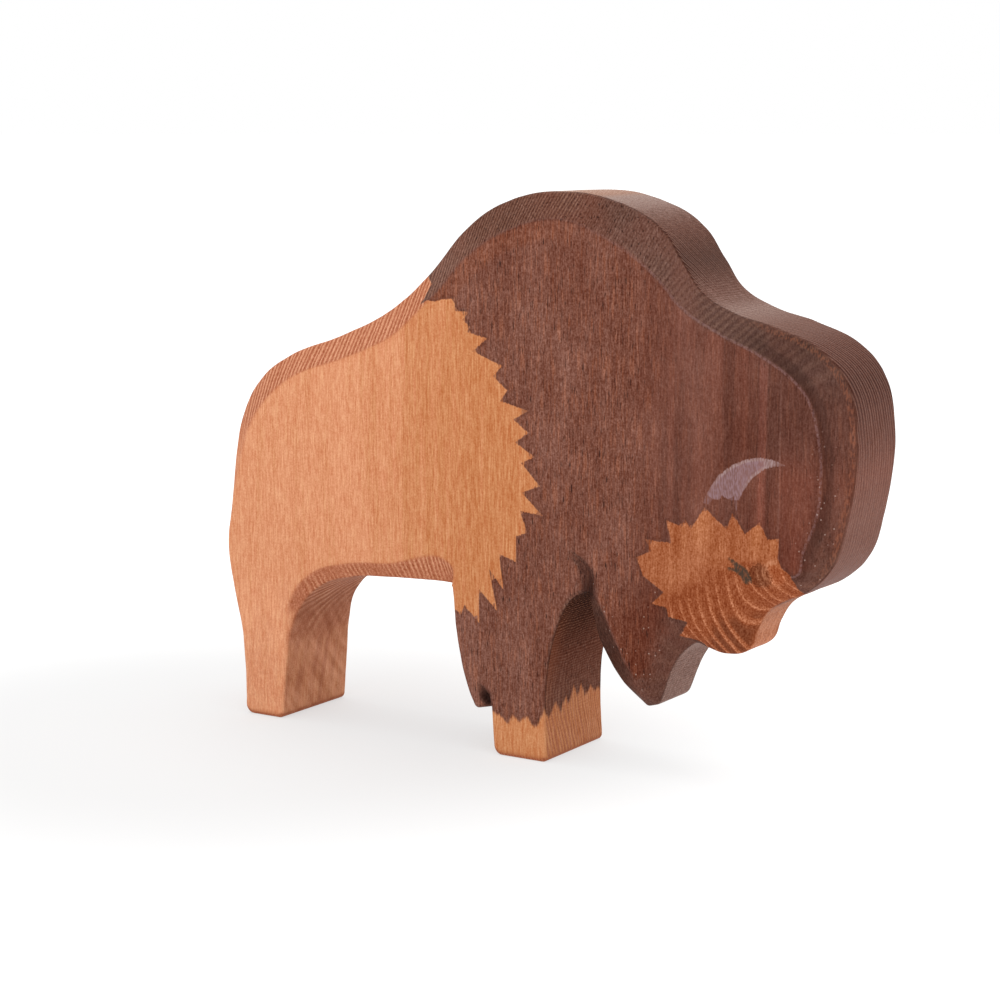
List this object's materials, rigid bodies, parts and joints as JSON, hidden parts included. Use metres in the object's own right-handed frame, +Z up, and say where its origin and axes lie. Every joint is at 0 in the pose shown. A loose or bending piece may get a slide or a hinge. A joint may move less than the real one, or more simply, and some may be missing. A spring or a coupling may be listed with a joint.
{
  "type": "wooden toy wisent",
  "caption": "Toy wisent sawn from one thick board, with hand-chamfered rims, a stained dark mane and painted horn and eye. It stands on its own feet.",
  "frame": {"origin": "on the ground under the middle of the toy, halfway through the board", "axes": "+X toward the head, +Y through the board's thickness, +Z up"},
  "size_m": [0.1583, 0.025, 0.1235],
  "materials": {
    "stained_wood": "stained orange-brown and dark brown, thin satin wax"
  },
  "bodies": {
    "root": {"wooden_wisent": "stained_wood"}
  },
  "joints": []
}
